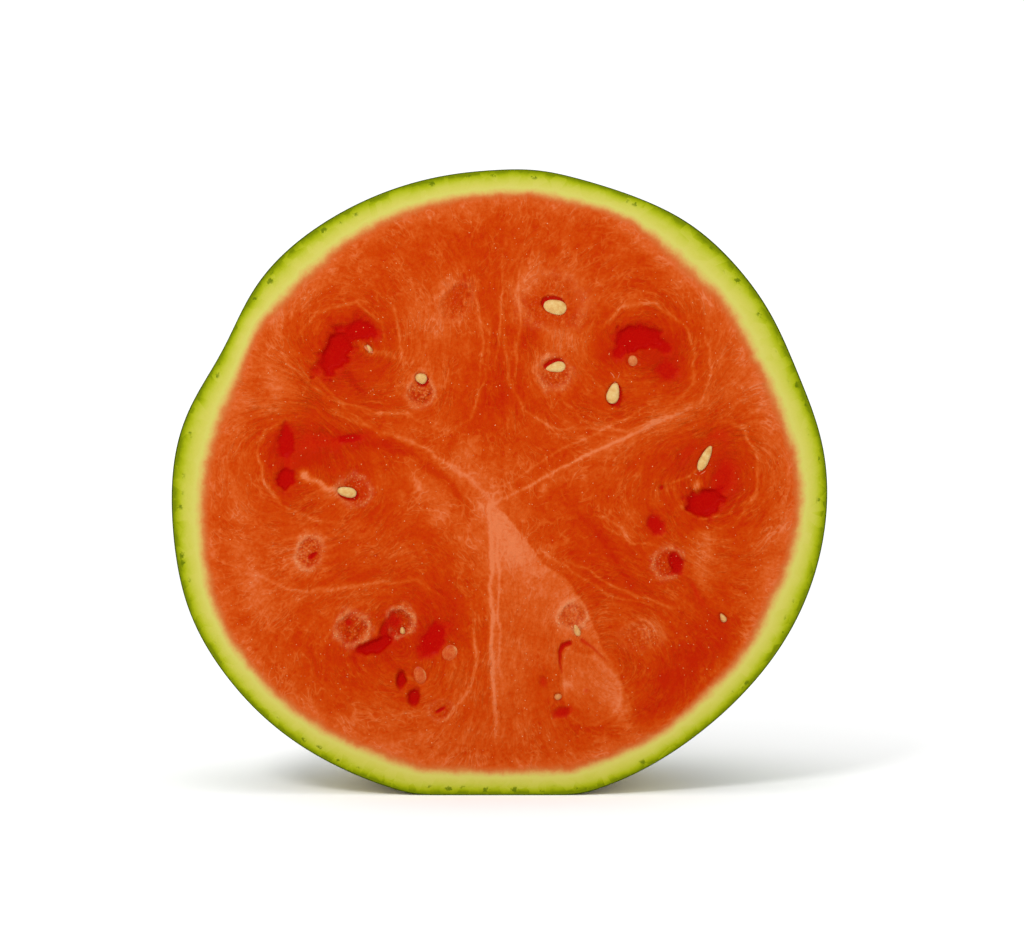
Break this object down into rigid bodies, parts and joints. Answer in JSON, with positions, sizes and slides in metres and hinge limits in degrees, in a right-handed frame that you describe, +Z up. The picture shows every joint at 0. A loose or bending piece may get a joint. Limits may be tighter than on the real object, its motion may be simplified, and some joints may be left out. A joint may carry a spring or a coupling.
{
  "type": "watermelon half",
  "caption": "Half a watermelon cut across its middle, standing on the flat spot where it lay, with small pale seeds in its cut face.",
  "frame": {"origin": "on the ground, under the middle of the part's box", "axes": "+Z up, the cut face looks along -Y, +X to the right as the cut face is looked at"},
  "size_m": [0.2196, 0.124, 0.2094],
  "materials": {
    "melon": "satin",
    "seed": "satin"
  },
  "bodies": {
    "root": {"melon_half": "melon", "seed_01": "seed", "seed_02": "seed", "seed_03": "seed", "seed_04": "seed", "seed_05": "seed", "seed_06": "seed", "seed_07": "seed", "seed_08": "seed", "seed_09": "seed", "seed_10": "seed", "seed_11": "seed", "seed_12": "seed", "seed_13": "seed", "seed_14": "seed"}
  },
  "joints": []
}
